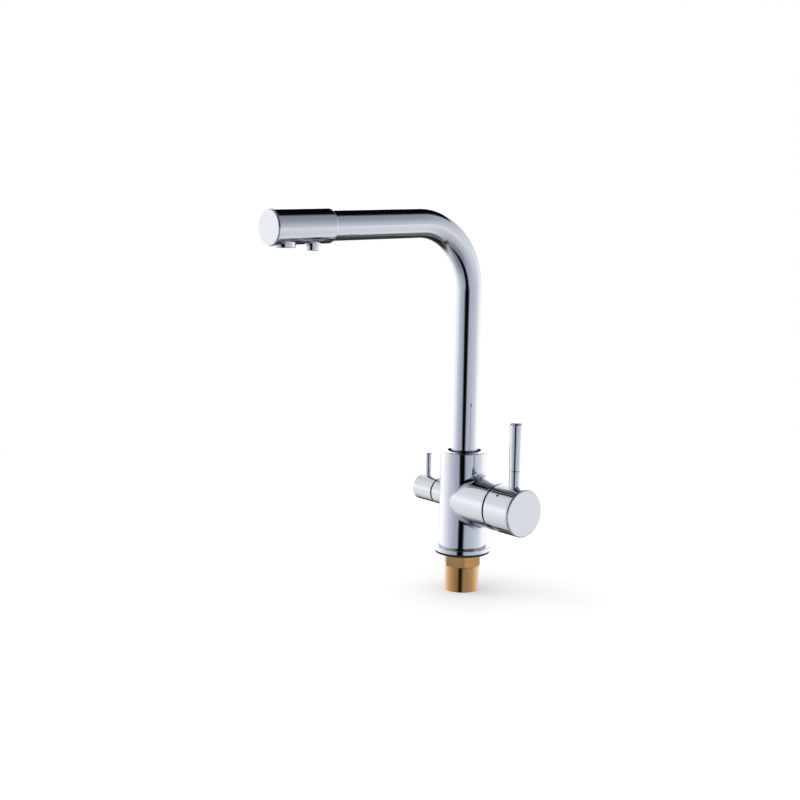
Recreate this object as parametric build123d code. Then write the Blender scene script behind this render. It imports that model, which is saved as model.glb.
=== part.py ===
from build123d import *
import math
import os

# Three-way kitchen mixer tap, in millimetres.
# Z is up and the worktop is z = 0. The spout points to -Y, the mixer handle to +X, the filter knob to -X.

# Fits and gaps
FIT = 0.05            # radial room of a fixed piece in its bore
RUN = 0.08            # radial room of a turning piece in its bore
FACE_GAP = 0.05       # between flat faces that rub
CLEAR = 0.4           # between pieces that move past each other
RING_ROOM = 0.1       # round a sealing ring in its groove
EDGE = 0.4            # broken edge on plated pieces
OVERCUT = 1.0         # how far a cutting tool runs past the face that it opens

# Base gasket and flange
FLANGE_D = 57.0
FLANGE_T = 4.4
FLANGE_ROUND = 0.9
GASKET_INSET = 1.0    # edge of the flange to the edge of the gasket
GASKET_T = 2.6

# Shank through the worktop
SHANK_D = 34.6
SHANK_BORE_D = 27.0
SHANK_DEPTH = 39.0    # worktop to the lower end
HEX_AF = 34.0
HEX_SIDES = 6
HEX_DEPTH = 13.7      # worktop to the underside of the hexagon
HEX_TURN = 24.0       # degrees
HEX_BEVEL = 30.0      # degrees, turned on the lower corners of the hexagon
NECK_D = 32.0
NECK_LENGTH = 10.0    # in the body
NECK_RELIEF = 0.6

# Body and its waterways
BODY_D = 48.0
BODY_ROUND = 0.8
FOOT_HEIGHT = 1.2     # relief round the foot of the column
FOOT_INSET = 0.8
BRANCH_RISE = 48.6    # underside of the body to the axis of both branches
BRANCH_BLEND = 6.0    # cast round where the mixer branch leaves the column
FILTER_BLEND = 2.0    # the same on the filter side
INLET_D = 8.9
INLET_DEPTH = 12.0
INLET_PITCH_R = 7.8
WATER_D = 6.0
PORT_DROP = 5.0       # hot and cold ports, below the branch axis
PORT_RISE = 8.0       # mixed port, above the branch axis
MIXED_DRILL_D = 4.8
FILTER_DRILL_D = 2.8

# Swivel joint of the spout
SOCKET_RISE = 10.5    # branch axis to the floor of the socket
SUMP = 2.0            # below the spigot
SPIGOT_D = 24.8
SPIGOT_LENGTH = 27.5
RING_DEPTH = 8.7      # open ring round the tube at the top of the body
RING_GAP = 2.7
WASHER_T = 1.0
COLLAR_T = 3.0
PLUG_LENGTH = 12.0
SPIGOT_RING_D = 1.8   # section of the two sealing rings
SPIGOT_RING_INSET = 4.0
TAIL_D = 9.0
TAIL_LENGTH = 6.5     # below the floor of the socket
TAIL_BORE_D = 5.0
TAIL_RING_D = 1.0
KEEP_GROOVE_H = 4.0
KEEP_GROOVE_DEPTH = 2.0
KEEP_SCREW_D = 5.8
KEEP_DOG_D = 3.0
KEEP_SINK = 2.0

# Spout
TUBE_D = 28.0
TUBE_WALL = 1.2
SPOUT_RISE = 227.3    # top of the body to the axis of the arm
BEND_R = 66.0
HOSE_D = 8.0
HOSE_BORE_D = 5.2
HOSE_SOCKET = 8.0

# Spout head and outlets
HEAD_REACH = 173.6    # body axis to the rear of the head
HEAD_D = 32.2
HEAD_ROUND = 2.0
TUBE_SOCKET = 9.4
NOZZLE_WALL = 1.2
NOZZLE_D = 15.6
NOZZLE_TIP_D = 12.4
NOZZLE_STEP = 1.2     # wide part, below the head
NOZZLE_DROP = 5.6     # tip, below the head
NOZZLE_MOUTH_D = 9.0
NOZZLE_MOUTH_DEPTH = 3.0
OUTLET_WALL = 12.6    # between the bores of the two outlets
OUTLET_DEPTH = 4.7    # seat of both outlets, above the underside of the head
AERATOR_D = 20.2
AERATOR_DROP = 1.9
AERATOR_WALL = 1.5
AERATOR_LIP = 1.0
AERATOR_WASHER_T = 1.2
AERATOR_HOLE_D = 2.0
AERATOR_PITCH = 3.1
FRONT_WALL = 5.0
HEAD_CAP_D = 33.2
HEAD_CAP_T = 2.5
CAP_ROUND = 1.6       # front edge of both end caps
CAP_SEAM = 0.1        # broken edges where an end cap closes its sleeve
CAP_PLUG_T = 2.5
CAP_PLUG_WALL = 1.5
CHAMBER_FLOOR_T = 2.4
BYPASS_D = 5.2

# Mixing cartridge
CHAMBER_WALL = 3.52   # between the spout socket and the cartridge
CARTRIDGE_D = 35.0
CART_GASKET_T = 0.8
CART_BASE_T = 3.2
PORT_D = 5.2
FIXED_DISC_T = 2.8
MOVING_DISC_D = 23.0
MOVING_DISC_T = 2.8
DRIVER_T = 3.6
BALL_D = 4.4
FINGER_D = 3.2
PIVOT_ARM = 5.8       # ball to pivot
PIVOT_D = 3.0
CASE_WALL = 2.0
CASE_TOP_T = 2.3
CARRIER_LENGTH = 10.65
CARRIER_NECK_D = 22.4
CARRIER_NECK_OUT = 1.6
STEM_D = 9.0
STEM_EYE_D = 8.0     # round eye that turns on the pivot pin
STEM_GRIP = 9.0
MIXER_TILT = 20.0     # degrees

# Mixer housing and knob
NUT_T = 4.6
NUT_STEP = 2.45       # cartridge to the thread of the nut
NUT_ROOM = 0.8        # round the neck of the carrier
NUT_RELIEF = 1.0
DOME_SEAT = 1.2
DOME_WALL = 2.0
LIP_WALL = 2.35
LIP_LENGTH = 4.6
GROOVE = 1.9
KNOB_RIM = 0.4        # flat land at the rear edge of the knob
DOME_GAP = 0.9        # between the dome and the hollow of the knob
KNOB_LENGTH = 31.1
KNOB_WALL = 3.2
KNOB_CAP_T = 2.4
HUB_D = 16.0
HUB_END = 2.5
GRUB_D = 3.0
GRUB_SINK = 0.8       # outer end of a set screw, below the surface of its knob
GRUB_KEY_D = 1.5
GRUB_FLAT = 0.6       # depth of the flat that a set screw bears on
GRUB_WALL = 0.5
GRUB_TURN = 45.0      # degrees, towards the front

# Pin lever
PIN_INSET = 12.6      # from the front of the knob
PIN_BASE_D = 11.2
PIN_TIP_D = 12.6
FERRULE_SINK = 5.0
FERRULE_HEIGHT = 16.6
PIN_LENGTH = 47.2
PIN_BEVEL = 2.0       # upper end of the rod
STUD_D = 6.0
STUD_DEPTH = 6.5
PIN_BOSS_WALL = 2.2

# Filtered-water valve
FILTER_CHAMBER_WALL = 2.0
SEAL_T = 1.5
SEAL_D = 11.2
SEAL_BORE_D = 6.4
BARREL_D = 14.8
BARREL_WALL = 1.25
BARREL_ROOM = 0.8
FILTER_DISC_T = 2.5
FILTER_DISC_GAP = 0.25
FILTER_PORT_D = 3.2
FILTER_PORT_R = 3.2
FOOT_T = 2.5
HEADWORK_D = 18.5
HEADWORK_THREAD = 8.2
HEADWORK_SHOULDER = 0.5
HEADWORK_NECK_D = 12.0
HEADWORK_NECK_OUT = 2.6
FILTER_WALL = 3.6
FILTER_LIP = 2.0
FILTER_GROOVE = 1.3
SPINDLE_D = 7.0
SPINDLE_GRIP = 10.0
SPINDLE_RING_D = 1.0
WINDOW_D = 3.0
FILTER_KNOB_LENGTH = 27.7
FILTER_PIN_INSET = 9.6
FILTER_PIN_BASE_D = 6.2
FILTER_PIN_TIP_D = 7.0
FILTER_PIN_BEVEL = 0.9
FILTER_PIN_LENGTH = 24.0
FILTER_PIN_SINK = 2.4
FILTER_STUD_D = 5.0
FILTER_STUD_DEPTH = 5.0
FILTER_GRUB_TURN = 225.0

BOTTOM = (Align.CENTER, Align.CENTER, Align.MIN)

# Heights
body_z0 = GASKET_T + FLANGE_T
branch_z = body_z0 + BRANCH_RISE
inlet_z = body_z0 + NECK_LENGTH + NECK_RELIEF
socket_z = branch_z + SOCKET_RISE
spigot_z0 = socket_z + SUMP
ring_z = spigot_z0 + SPIGOT_LENGTH
body_z1 = ring_z + RING_DEPTH
collar_z = ring_z + WASHER_T + FACE_GAP
tube_z0 = collar_z + COLLAR_T
plug_z1 = tube_z0 + PLUG_LENGTH
hose_z0 = plug_z1 - HOSE_SOCKET
keep_z = spigot_z0 + SPIGOT_LENGTH / 2
arm_z = body_z1 + SPOUT_RISE

# Radii
body_r = BODY_D / 2
flange_r = FLANGE_D / 2
gasket_r = flange_r - GASKET_INSET
neck_r = NECK_D / 2
hex_r = HEX_AF / 2 / math.cos(math.pi / HEX_SIDES)
tube_r = TUBE_D / 2
tube_in_r = tube_r - TUBE_WALL
ring_r = tube_r + RING_GAP
spigot_r = SPIGOT_D / 2
socket_r = spigot_r + RUN
tail_r = TAIL_D / 2
hose_r = HOSE_D / 2
case_r = CARTRIDGE_D / 2
case_in_r = case_r - CASE_WALL
nut_r = case_r + NUT_STEP
dome_r = nut_r + DOME_SEAT
branch_r = dome_r + LIP_WALL
carrier_neck_r = CARRIER_NECK_D / 2
stem_r = STEM_D / 2
headwork_r = HEADWORK_D / 2
filter_r = headwork_r + FIT + FILTER_WALL
barrel_r = BARREL_D / 2
barrel_in_r = barrel_r - BARREL_WALL
spindle_r = SPINDLE_D / 2

# Mixer, outwards from the body axis along +X
chamber_x = socket_r + CHAMBER_WALL
base_x0 = chamber_x + CART_GASKET_T
base_x1 = base_x0 + CART_BASE_T
fixed_x1 = base_x1 + FIXED_DISC_T
moving_x0 = fixed_x1 + FACE_GAP
moving_x1 = moving_x0 + MOVING_DISC_T
driver_x1 = moving_x1 + DRIVER_T
ball_x = moving_x1 + BALL_D / 2 + CLEAR
pivot_x = ball_x + PIVOT_ARM
carrier_x0 = driver_x1 + CLEAR
carrier_x1 = carrier_x0 + CARRIER_LENGTH
case_top_x = carrier_x1 + CLEAR
case_x1 = case_top_x + CASE_TOP_T
neck_x1 = case_x1 + CARRIER_NECK_OUT
nut_x1 = case_x1 + NUT_T
mixer_x1 = nut_x1 + LIP_LENGTH
knob_x0 = mixer_x1 + GROOVE
knob_x1 = knob_x0 + KNOB_LENGTH
knob_sphere_r = math.hypot(knob_x0 - pivot_x, branch_r - KNOB_RIM)
dome_sphere_r = knob_sphere_r - DOME_GAP
hub_x = pivot_x + knob_sphere_r
grub_x = hub_x + GRUB_D / 2 + GRUB_WALL
web_x = grub_x + GRUB_D / 2 + GRUB_WALL
stem_x1 = hub_x + STEM_GRIP
pin_x = knob_x1 - PIN_INSET
seat_z = branch_z + branch_r - FERRULE_SINK
seam_z = branch_z + branch_r + FERRULE_HEIGHT

# Filter valve, outwards from the body axis along -X
seal_d0 = socket_r + FILTER_CHAMBER_WALL
seal_d1 = seal_d0 + SEAL_T
filter_fixed_d1 = seal_d1 + FILTER_DISC_T
filter_moving_d0 = filter_fixed_d1 + FACE_GAP
filter_moving_d1 = filter_moving_d0 + FILTER_DISC_T
foot_d1 = filter_moving_d1 + FOOT_T
barrel_d1 = foot_d1 + CLEAR
thread_d0 = barrel_d1 + HEADWORK_SHOULDER
thread_d1 = thread_d0 + HEADWORK_THREAD
filter_d1 = thread_d1 + FILTER_LIP
filter_neck_d1 = filter_d1 + HEADWORK_NECK_OUT
filter_knob_d0 = filter_d1 + FILTER_GROOVE
filter_recess_d1 = filter_neck_d1 + CLEAR
spindle_d1 = filter_recess_d1 + SPINDLE_GRIP
filter_knob_d1 = filter_knob_d0 + FILTER_KNOB_LENGTH
filter_pin_d = filter_knob_d1 - FILTER_PIN_INSET
filter_grub_d = filter_recess_d1 + SPINDLE_GRIP / 2
filter_seat_z = branch_z + filter_r - FILTER_PIN_SINK

# Spout head, outwards from the body axis along -Y
head_r = HEAD_D / 2
tube_seat_d = HEAD_REACH + TUBE_SOCKET
nozzle_r = NOZZLE_D / 2
aerator_r = AERATOR_D / 2
nozzle_d = tube_seat_d + NOZZLE_WALL + nozzle_r + FIT
aerator_d = nozzle_d + nozzle_r + OUTLET_WALL + aerator_r
head_d1 = aerator_d + aerator_r + FRONT_WALL
outlet_seat_r = head_r - OUTLET_DEPTH
outlet_seat_z = arm_z - outlet_seat_r
head_low_z = arm_z - head_r
head_chamber_r = outlet_seat_r - CHAMBER_FLOOR_T
hose_end_d = nozzle_d - HOSE_BORE_D / 2


def rod_z(radius, z0, z1, x=0.0, y=0.0):
    """Upright cylinder."""
    return Pos(x, y, z0) * Cylinder(radius, z1 - z0, align=BOTTOM)


def rod_x(radius, x0, x1, y=0.0, z=branch_z):
    """Cylinder along X, on the branch axis unless told otherwise."""
    return Pos(x0, y, z) * Rot(0, 90, 0) * Cylinder(radius, x1 - x0, align=BOTTOM)


def rod_left(radius, d0, d1, y=0.0, z=branch_z):
    """Cylinder on the filter side, between two distances from the body axis."""
    return rod_x(radius, -d1, -d0, y, z)


def rod_front(radius, d0, d1, x=0.0, z=arm_z):
    """Cylinder along the spout arm, between two distances from the body axis."""
    return Pos(x, -d1, z) * Rot(-90, 0, 0) * Cylinder(radius, d1 - d0, align=BOTTOM)


def rod_back(radius, y0, y1, z):
    """Cylinder along Y, behind the body axis."""
    return Pos(0, y0, z) * Rot(-90, 0, 0) * Cylinder(radius, y1 - y0, align=BOTTOM)


def rod_pivot(radius, length):
    """Cylinder along the tilt axis of the lever."""
    return Pos(pivot_x, 0, branch_z) * Rot(90, 0, 0) * Cylinder(radius, length)


def spoke(radius, r0, r1, x, turn):
    """Cylinder square to the branch axis, turned towards the front."""
    return Pos(x, 0, branch_z) * Rot(turn, 0, 0) * Pos(0, 0, r0) * Cylinder(radius, r1 - r0, align=BOTTOM)


def tilt_ball(radius):
    """Ball about the tilt axis of the lever, with its poles on the branch axis."""
    return Pos(pivot_x, 0, branch_z) * Rot(0, 90, 0) * Sphere(radius)


def flat(shaft_r, x0, x1, turn):
    """Block that cuts a flat on a branch shaft for a set screw."""
    side = 4 * shaft_r
    block = Box(x1 - x0, side, side, align=(Align.MIN, Align.CENTER, Align.MIN))
    return Pos(x0, 0, branch_z) * Rot(turn, 0, 0) * Pos(0, 0, shaft_r - GRUB_FLAT) * block


def grub(shaft_r, knob_r, x, turn):
    """Set screw from the flat of a shaft to the surface of its knob, with a key socket in the outer end."""
    r0 = shaft_r - GRUB_FLAT + FACE_GAP
    r1 = knob_r - GRUB_SINK
    return spoke(GRUB_D / 2, r0, r1, x, turn) - spoke(GRUB_KEY_D / 2, r1 - GRUB_KEY_D, r1 + OVERCUT, x, turn)


def seal_ring(section_d, outer_r):
    """Sealing ring about Z that fits inside outer_r."""
    return Torus(outer_r - section_d / 2, section_d / 2)


def groove_z(outer_r, section_d, z):
    """Ring that cuts a seal groove in an upright shaft."""
    half = section_d / 2 + RING_ROOM
    floor_r = outer_r - section_d - RING_ROOM
    return rod_z(outer_r + OVERCUT, z - half, z + half) - rod_z(floor_r, z - half, z + half)


def last_edges(shape, axis):
    """Outermost edges of a shape along an axis."""
    return shape.edges().group_by(axis)[-1]


def first_edges(shape, axis):
    """Edges of a shape that come first along an axis."""
    return shape.edges().group_by(axis)[0]


def root_ball(radius):
    """Ball on the body axis at the root of a branch, with its poles on the branch axis."""
    return Pos(0, 0, branch_z) * Rot(0, 90, 0) * Sphere(radius)


def blend(shape, branch, radius):
    """Join a branch to a shape and round the corner where they meet."""
    joined = shape + branch
    return fillet(new_edges(shape, branch, combined=joined), radius)


def spout_path(z0, d1):
    """Centre line of the spout from a height on the riser to a reach on the arm."""
    bend_z = arm_z - BEND_R
    chord = BEND_R * (1 - math.cos(math.radians(45)))
    riser = Line((0, 0, z0), (0, 0, bend_z))
    bend = ThreePointArc((0, 0, bend_z), (0, -chord, arm_z - chord), (0, -BEND_R, arm_z))
    arm = Line((0, -BEND_R, arm_z), (0, -d1, arm_z))
    return riser + bend + arm


def bent_tube(outer_r, inner_r, z0, d1):
    """Tube along the spout."""
    path = spout_path(z0, d1)
    outer = sweep(Pos(0, 0, z0) * Circle(outer_r), path=path)
    inner = sweep(Pos(0, 0, z0) * Circle(inner_r), path=path)
    return outer - inner


def flat_cap(radius, plug_r, thickness):
    """Round end cap facing +Z with a rounded front edge and a plug ring behind it."""
    disc = Cylinder(radius, thickness, align=BOTTOM)
    disc = fillet(last_edges(disc, Axis.Z), CAP_ROUND)
    disc = chamfer(first_edges(disc, Axis.Z), CAP_SEAM)
    plug = rod_z(plug_r, -CAP_PLUG_T, 0) - rod_z(plug_r - CAP_PLUG_WALL, -CAP_PLUG_T, 0)
    return disc + plug


def mixing_ports(x0, x1, radius):
    """Cutters for the hot, cold and mixed ports of the cartridge."""
    return [rod_x(radius, x0, x1, y, z) for y, z in port_yz]


inlet_xy = [
    (INLET_PITCH_R * math.cos(math.radians(a)), INLET_PITCH_R * math.sin(math.radians(a)))
    for a in (60, -60, 180)
]
hot_x = inlet_xy[0][0]
hot_y = inlet_xy[0][1]
port_yz = [(hot_y, branch_z - PORT_DROP), (-hot_y, branch_z - PORT_DROP), (0.0, branch_z + PORT_RISE)]
water_r = WATER_D / 2
nodes = {}

# Base
nodes["base_gasket"] = rod_z(gasket_r, 0, GASKET_T) - rod_z(hex_r + CLEAR, -OVERCUT, GASKET_T + OVERCUT)

flange = rod_z(flange_r, GASKET_T, body_z0)
flange = fillet(last_edges(flange, Axis.Z), FLANGE_ROUND)
nodes["base_flange"] = flange - rod_z(neck_r + FIT, 0, body_z0 + OVERCUT)

hexagon = extrude(RegularPolygon(hex_r, HEX_SIDES), HEX_DEPTH + GASKET_T)
bevel_rise = (hex_r - SHANK_D / 2) * math.tan(math.radians(HEX_BEVEL))
bevel = Cone(SHANK_D / 2, hex_r, bevel_rise, align=BOTTOM) + rod_z(hex_r, bevel_rise, HEX_DEPTH + GASKET_T)
hexagon = Pos(0, 0, -HEX_DEPTH) * Rot(0, 0, HEX_TURN) * (hexagon & bevel)
barrel = rod_z(SHANK_D / 2, -SHANK_DEPTH, -HEX_DEPTH)
barrel = chamfer(first_edges(barrel, Axis.Z), EDGE)
shank = barrel + hexagon + rod_z(neck_r, GASKET_T, body_z0 + NECK_LENGTH)
nodes["shank"] = shank - rod_z(SHANK_BORE_D / 2, -SHANK_DEPTH - OVERCUT, inlet_z)

# Body casting
column = rod_z(body_r, body_z0 + FOOT_HEIGHT, body_z1)
column = fillet(last_edges(column, Axis.Z), BODY_ROUND)
column += rod_z(body_r - FOOT_INSET, body_z0, body_z0 + FOOT_HEIGHT)
# A ball at the root of each branch keeps the blends whole round a column narrower than the branch
mixer_branch = rod_x(branch_r, 0, mixer_x1)
mixer_branch = chamfer(last_edges(mixer_branch, Axis.X), EDGE) + root_ball(branch_r)
filter_branch = rod_left(filter_r, 0, filter_d1)
filter_branch = chamfer(first_edges(filter_branch, Axis.X), EDGE) + root_ball(filter_r)
body = blend(column, mixer_branch, BRANCH_BLEND)
body = blend(body, filter_branch, FILTER_BLEND)
cuts = [
    rod_z(neck_r + FIT, body_z0 - OVERCUT, inlet_z),
    rod_z(ring_r, ring_z, body_z1 + OVERCUT),
    rod_z(socket_r, socket_z, ring_z + OVERCUT),
    rod_z(tail_r + RUN, socket_z - TAIL_LENGTH - CLEAR, socket_z + OVERCUT),
    rod_x(case_r + FIT, chamber_x, mixer_x1),
    rod_x(nut_r + FIT, case_x1 - NUT_RELIEF, mixer_x1),
    rod_x(dome_r + FIT, nut_x1, mixer_x1 + OVERCUT),
    rod_left(barrel_r + BARREL_ROOM, seal_d0, filter_d1),
    rod_left(headwork_r + FIT, thread_d0, filter_d1 + OVERCUT),
]
cuts += [rod_z(INLET_D / 2, inlet_z - OVERCUT, inlet_z + INLET_DEPTH, x, y) for x, y in inlet_xy]
# Hot and cold: up from the inlets, then out to the cartridge
for y in (hot_y, -hot_y):
    cuts.append(rod_z(water_r, inlet_z, branch_z - PORT_DROP + water_r, hot_x, y))
    cuts.append(rod_x(water_r, hot_x, chamber_x + OVERCUT, y, branch_z - PORT_DROP))
# Mixed water: back from the cartridge, then up into the spout socket
mixed_x = socket_r - MIXED_DRILL_D / 2 - CLEAR
cuts.append(rod_x(water_r, mixed_x - MIXED_DRILL_D / 2, chamber_x + OVERCUT, 0, branch_z + PORT_RISE))
cuts.append(rod_z(MIXED_DRILL_D / 2, branch_z + PORT_RISE, socket_z + OVERCUT, mixed_x))
# Filtered water: up to the filter valve, then back above its seal to the middle of the spout socket
filter_drill_z = branch_z + SEAL_D / 2 + FILTER_DRILL_D / 2
cuts.append(rod_z(water_r, inlet_z, branch_z + water_r, -INLET_PITCH_R))
cuts.append(rod_left(water_r, INLET_PITCH_R, seal_d0 + OVERCUT))
cuts.append(rod_left(FILTER_DRILL_D / 2, 0, seal_d0 + OVERCUT, 0, filter_drill_z))
# Screw that keeps the spout in, at the back
cuts.append(rod_back(KEEP_SCREW_D / 2 + FIT, 0, body_r + OVERCUT, keep_z))
nodes["mixer_body"] = body - cuts

# Spout joint
groove_r = spigot_r - KEEP_GROOVE_DEPTH
port_pitch_r = (groove_r + hose_r + FIT) / 2
port_r = (groove_r - hose_r - FIT) / 2 - GRUB_WALL
upper_z = ring_z - SPIGOT_RING_INSET
lower_z = spigot_z0 + SPIGOT_RING_INSET
tail_z0 = socket_z - TAIL_LENGTH
tail_ring_z = socket_z - TAIL_LENGTH / 2

nodes["spout_washer"] = rod_z(ring_r - FIT, ring_z, ring_z + WASHER_T) - rod_z(socket_r, 0, body_z1)

spigot = rod_z(spigot_r, spigot_z0, collar_z) + rod_z(tube_r, collar_z, tube_z0)
spigot += rod_z(tube_in_r - FIT, tube_z0, plug_z1) + rod_z(tail_r, tail_z0, spigot_z0)
spigot -= groove_z(spigot_r, SPIGOT_RING_D, upper_z) + groove_z(spigot_r, SPIGOT_RING_D, lower_z)
spigot -= groove_z(tail_r, TAIL_RING_D, tail_ring_z)
keep_groove = rod_z(spigot_r + OVERCUT, keep_z - KEEP_GROOVE_H / 2, keep_z + KEEP_GROOVE_H / 2)
spigot -= keep_groove - rod_z(groove_r, 0, body_z1)
spigot -= rod_z(TAIL_BORE_D / 2, tail_z0 - OVERCUT, plug_z1)
spigot -= rod_z(hose_r + FIT, hose_z0, plug_z1 + OVERCUT)
for i in range(3):
    a = math.radians(120 * i + 60)
    port_xy = (port_pitch_r * math.cos(a), port_pitch_r * math.sin(a))
    spigot -= rod_z(port_r, spigot_z0 - OVERCUT, plug_z1 + OVERCUT, *port_xy)
nodes["spout_spigot"] = spigot
nodes["spigot_ring_upper"] = Pos(0, 0, upper_z) * seal_ring(SPIGOT_RING_D, spigot_r)
nodes["spigot_ring_lower"] = Pos(0, 0, lower_z) * seal_ring(SPIGOT_RING_D, spigot_r)
nodes["tail_ring"] = Pos(0, 0, tail_ring_z) * seal_ring(TAIL_RING_D, tail_r)

keep_y0 = groove_r + CLEAR
keep_y1 = socket_r + CLEAR
keep_y2 = body_r - KEEP_SINK
keep = rod_back(KEEP_SCREW_D / 2, keep_y1, keep_y2, keep_z)
keep += rod_back(KEEP_DOG_D / 2, keep_y0, keep_y1, keep_z)
nodes["spout_keeper"] = keep - rod_back(KEEP_DOG_D / 2, keep_y2 - KEEP_DOG_D, keep_y2 + OVERCUT, keep_z)

# Spout
nodes["spout_tube"] = bent_tube(tube_r, tube_in_r, tube_z0, tube_seat_d)
nodes["inner_tube"] = bent_tube(hose_r, HOSE_BORE_D / 2, hose_z0, hose_end_d)

head = rod_front(head_r, HEAD_REACH, head_d1)
head = fillet(last_edges(head, Axis.Y), HEAD_ROUND)
head = chamfer(first_edges(head, Axis.Y), CAP_SEAM)
aerator_in_r = aerator_r - AERATOR_WALL
bypass_r = (hose_r + tube_in_r) / 2 + BYPASS_D / 4
bypass_x = bypass_r * math.cos(math.radians(30))
bypass_z = arm_z + bypass_r * math.sin(math.radians(30))
head -= [
    rod_front(tube_r + FIT, HEAD_REACH - OVERCUT, tube_seat_d),
    rod_front(hose_r + FIT, tube_seat_d - OVERCUT, hose_end_d),
    rod_front(TAIL_BORE_D / 2, hose_end_d - OVERCUT, nozzle_d),
    rod_z(TAIL_BORE_D / 2, outlet_seat_z - OVERCUT, arm_z, 0, -nozzle_d),
    rod_z(nozzle_r + FIT, head_low_z - OVERCUT, outlet_seat_z, 0, -nozzle_d),
    rod_front(head_chamber_r, aerator_d - aerator_r, head_d1 + OVERCUT),
    rod_z(aerator_in_r, outlet_seat_z - OVERCUT, arm_z, 0, -aerator_d),
    rod_z(aerator_r + FIT, head_low_z - OVERCUT, outlet_seat_z, 0, -aerator_d),
    rod_front(BYPASS_D / 2, tube_seat_d - OVERCUT, aerator_d, bypass_x, bypass_z),
    rod_front(BYPASS_D / 2, tube_seat_d - OVERCUT, aerator_d, -bypass_x, bypass_z),
]
nodes["spout_head"] = head
head_cap = flat_cap(HEAD_CAP_D / 2, head_chamber_r - FIT, HEAD_CAP_T)
nodes["head_cap"] = Pos(0, -head_d1, arm_z) * Rot(90, 0, 0) * head_cap

aerator_z1 = outlet_seat_z - AERATOR_WASHER_T
aerator_z0 = head_low_z - AERATOR_DROP
insert_z0 = aerator_z0 + AERATOR_LIP
housing = rod_z(aerator_r, aerator_z0, aerator_z1, 0, -aerator_d)
housing = chamfer(first_edges(housing, Axis.Z), EDGE)
housing -= rod_z(aerator_in_r, insert_z0, aerator_z1 + OVERCUT, 0, -aerator_d)
nodes["aerator_housing"] = housing - rod_z(aerator_in_r - AERATOR_LIP, 0, insert_z0 + OVERCUT, 0, -aerator_d)
washer = rod_z(aerator_r - FIT, aerator_z1, outlet_seat_z, 0, -aerator_d)
nodes["aerator_washer"] = washer - rod_z(aerator_in_r - AERATOR_LIP, 0, arm_z, 0, -aerator_d)
insert = rod_z(aerator_in_r - FIT, insert_z0, aerator_z1, 0, -aerator_d)
jets = []
reach = aerator_in_r - AERATOR_LIP - AERATOR_HOLE_D / 2
rows = math.ceil(reach / AERATOR_PITCH)
for i in range(-rows, rows + 1):
    for j in range(-rows, rows + 1):
        jx = AERATOR_PITCH * (i + j / 2)
        jy = AERATOR_PITCH * j * math.sqrt(3) / 2
        if math.hypot(jx, jy) <= reach:
            jets.append(rod_z(AERATOR_HOLE_D / 2, 0, arm_z, jx, jy - aerator_d))
nodes["aerator_insert"] = insert - jets

nozzle_step_z = head_low_z - NOZZLE_STEP
nozzle_z0 = head_low_z - NOZZLE_DROP
tip = rod_z(NOZZLE_TIP_D / 2, nozzle_z0, nozzle_step_z, 0, -nozzle_d)
tip = chamfer(first_edges(tip, Axis.Z), EDGE)
nozzle = tip + rod_z(nozzle_r, nozzle_step_z, outlet_seat_z, 0, -nozzle_d)
nozzle -= rod_z(TAIL_BORE_D / 2, 0, arm_z, 0, -nozzle_d)
nodes["filter_nozzle"] = nozzle - rod_z(NOZZLE_MOUTH_D / 2, 0, nozzle_z0 + NOZZLE_MOUTH_DEPTH, 0, -nozzle_d)

# Mixing cartridge
port_cut = mixing_ports(chamber_x - OVERCUT, moving_x0, PORT_D / 2)
nodes["cartridge_gasket"] = rod_x(case_in_r, chamber_x, base_x0) - port_cut
nodes["cartridge_base"] = rod_x(case_r, base_x0, base_x1) - port_cut
nodes["fixed_disc"] = rod_x(case_in_r - FIT, base_x1, fixed_x1) - port_cut

case = rod_x(case_r, base_x1, case_x1) - rod_x(case_in_r, base_x1 - OVERCUT, case_top_x)
nodes["cartridge_case"] = case - rod_x(carrier_neck_r + CLEAR, case_top_x - OVERCUT, case_x1 + OVERCUT)

moving_r = MOVING_DISC_D / 2
pocket_x = moving_x0 + MOVING_DISC_T / 2
pocket = rod_x(moving_r - CASE_WALL, moving_x0 - OVERCUT, pocket_x)
nodes["moving_disc"] = rod_x(moving_r, moving_x0, moving_x1) - pocket
driver = rod_x(moving_r, moving_x1, driver_x1)
nodes["disc_driver"] = driver - rod_x(BALL_D / 2 + CLEAR, moving_x1 - OVERCUT, driver_x1 + OVERCUT)

tilt = math.radians(MIXER_TILT)
slot_low = (neck_x1 - pivot_x) * math.tan(tilt) + stem_r / math.cos(tilt) + CLEAR
slot_high = (pivot_x - carrier_x0) * math.sin(tilt) + stem_r + CLEAR
carrier = rod_x(case_in_r - CLEAR, carrier_x0, carrier_x1) + rod_x(carrier_neck_r, carrier_x1, neck_x1)
slot = Box(neck_x1 - carrier_x0 + 2 * OVERCUT, STEM_D + 2 * CLEAR, slot_low + slot_high,
           align=(Align.MIN, Align.CENTER, Align.MIN))
carrier -= Pos(carrier_x0 - OVERCUT, 0, branch_z - slot_low) * slot
pin_half = case_in_r - CASE_WALL
nodes["stem_carrier"] = carrier - rod_pivot(PIVOT_D / 2 + FIT, 2 * (pin_half + FIT))
nodes["pivot_pin"] = rod_pivot(PIVOT_D / 2, 2 * pin_half)

spindle = rod_pivot(STEM_EYE_D / 2, STEM_D) + rod_x(stem_r, pivot_x, stem_x1)
spindle += rod_x(FINGER_D / 2, ball_x, pivot_x) + Pos(ball_x, 0, branch_z) * Sphere(BALL_D / 2)
spindle -= rod_pivot(PIVOT_D / 2 + RUN, 2 * STEM_D)
nodes["lever_spindle"] = spindle - flat(stem_r, hub_x, stem_x1 + OVERCUT, GRUB_TURN)

nut = rod_x(nut_r, case_x1, nut_x1)
nodes["cartridge_nut"] = nut - rod_x(carrier_neck_r + NUT_ROOM, case_x1 - OVERCUT, nut_x1 + OVERCUT)

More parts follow.
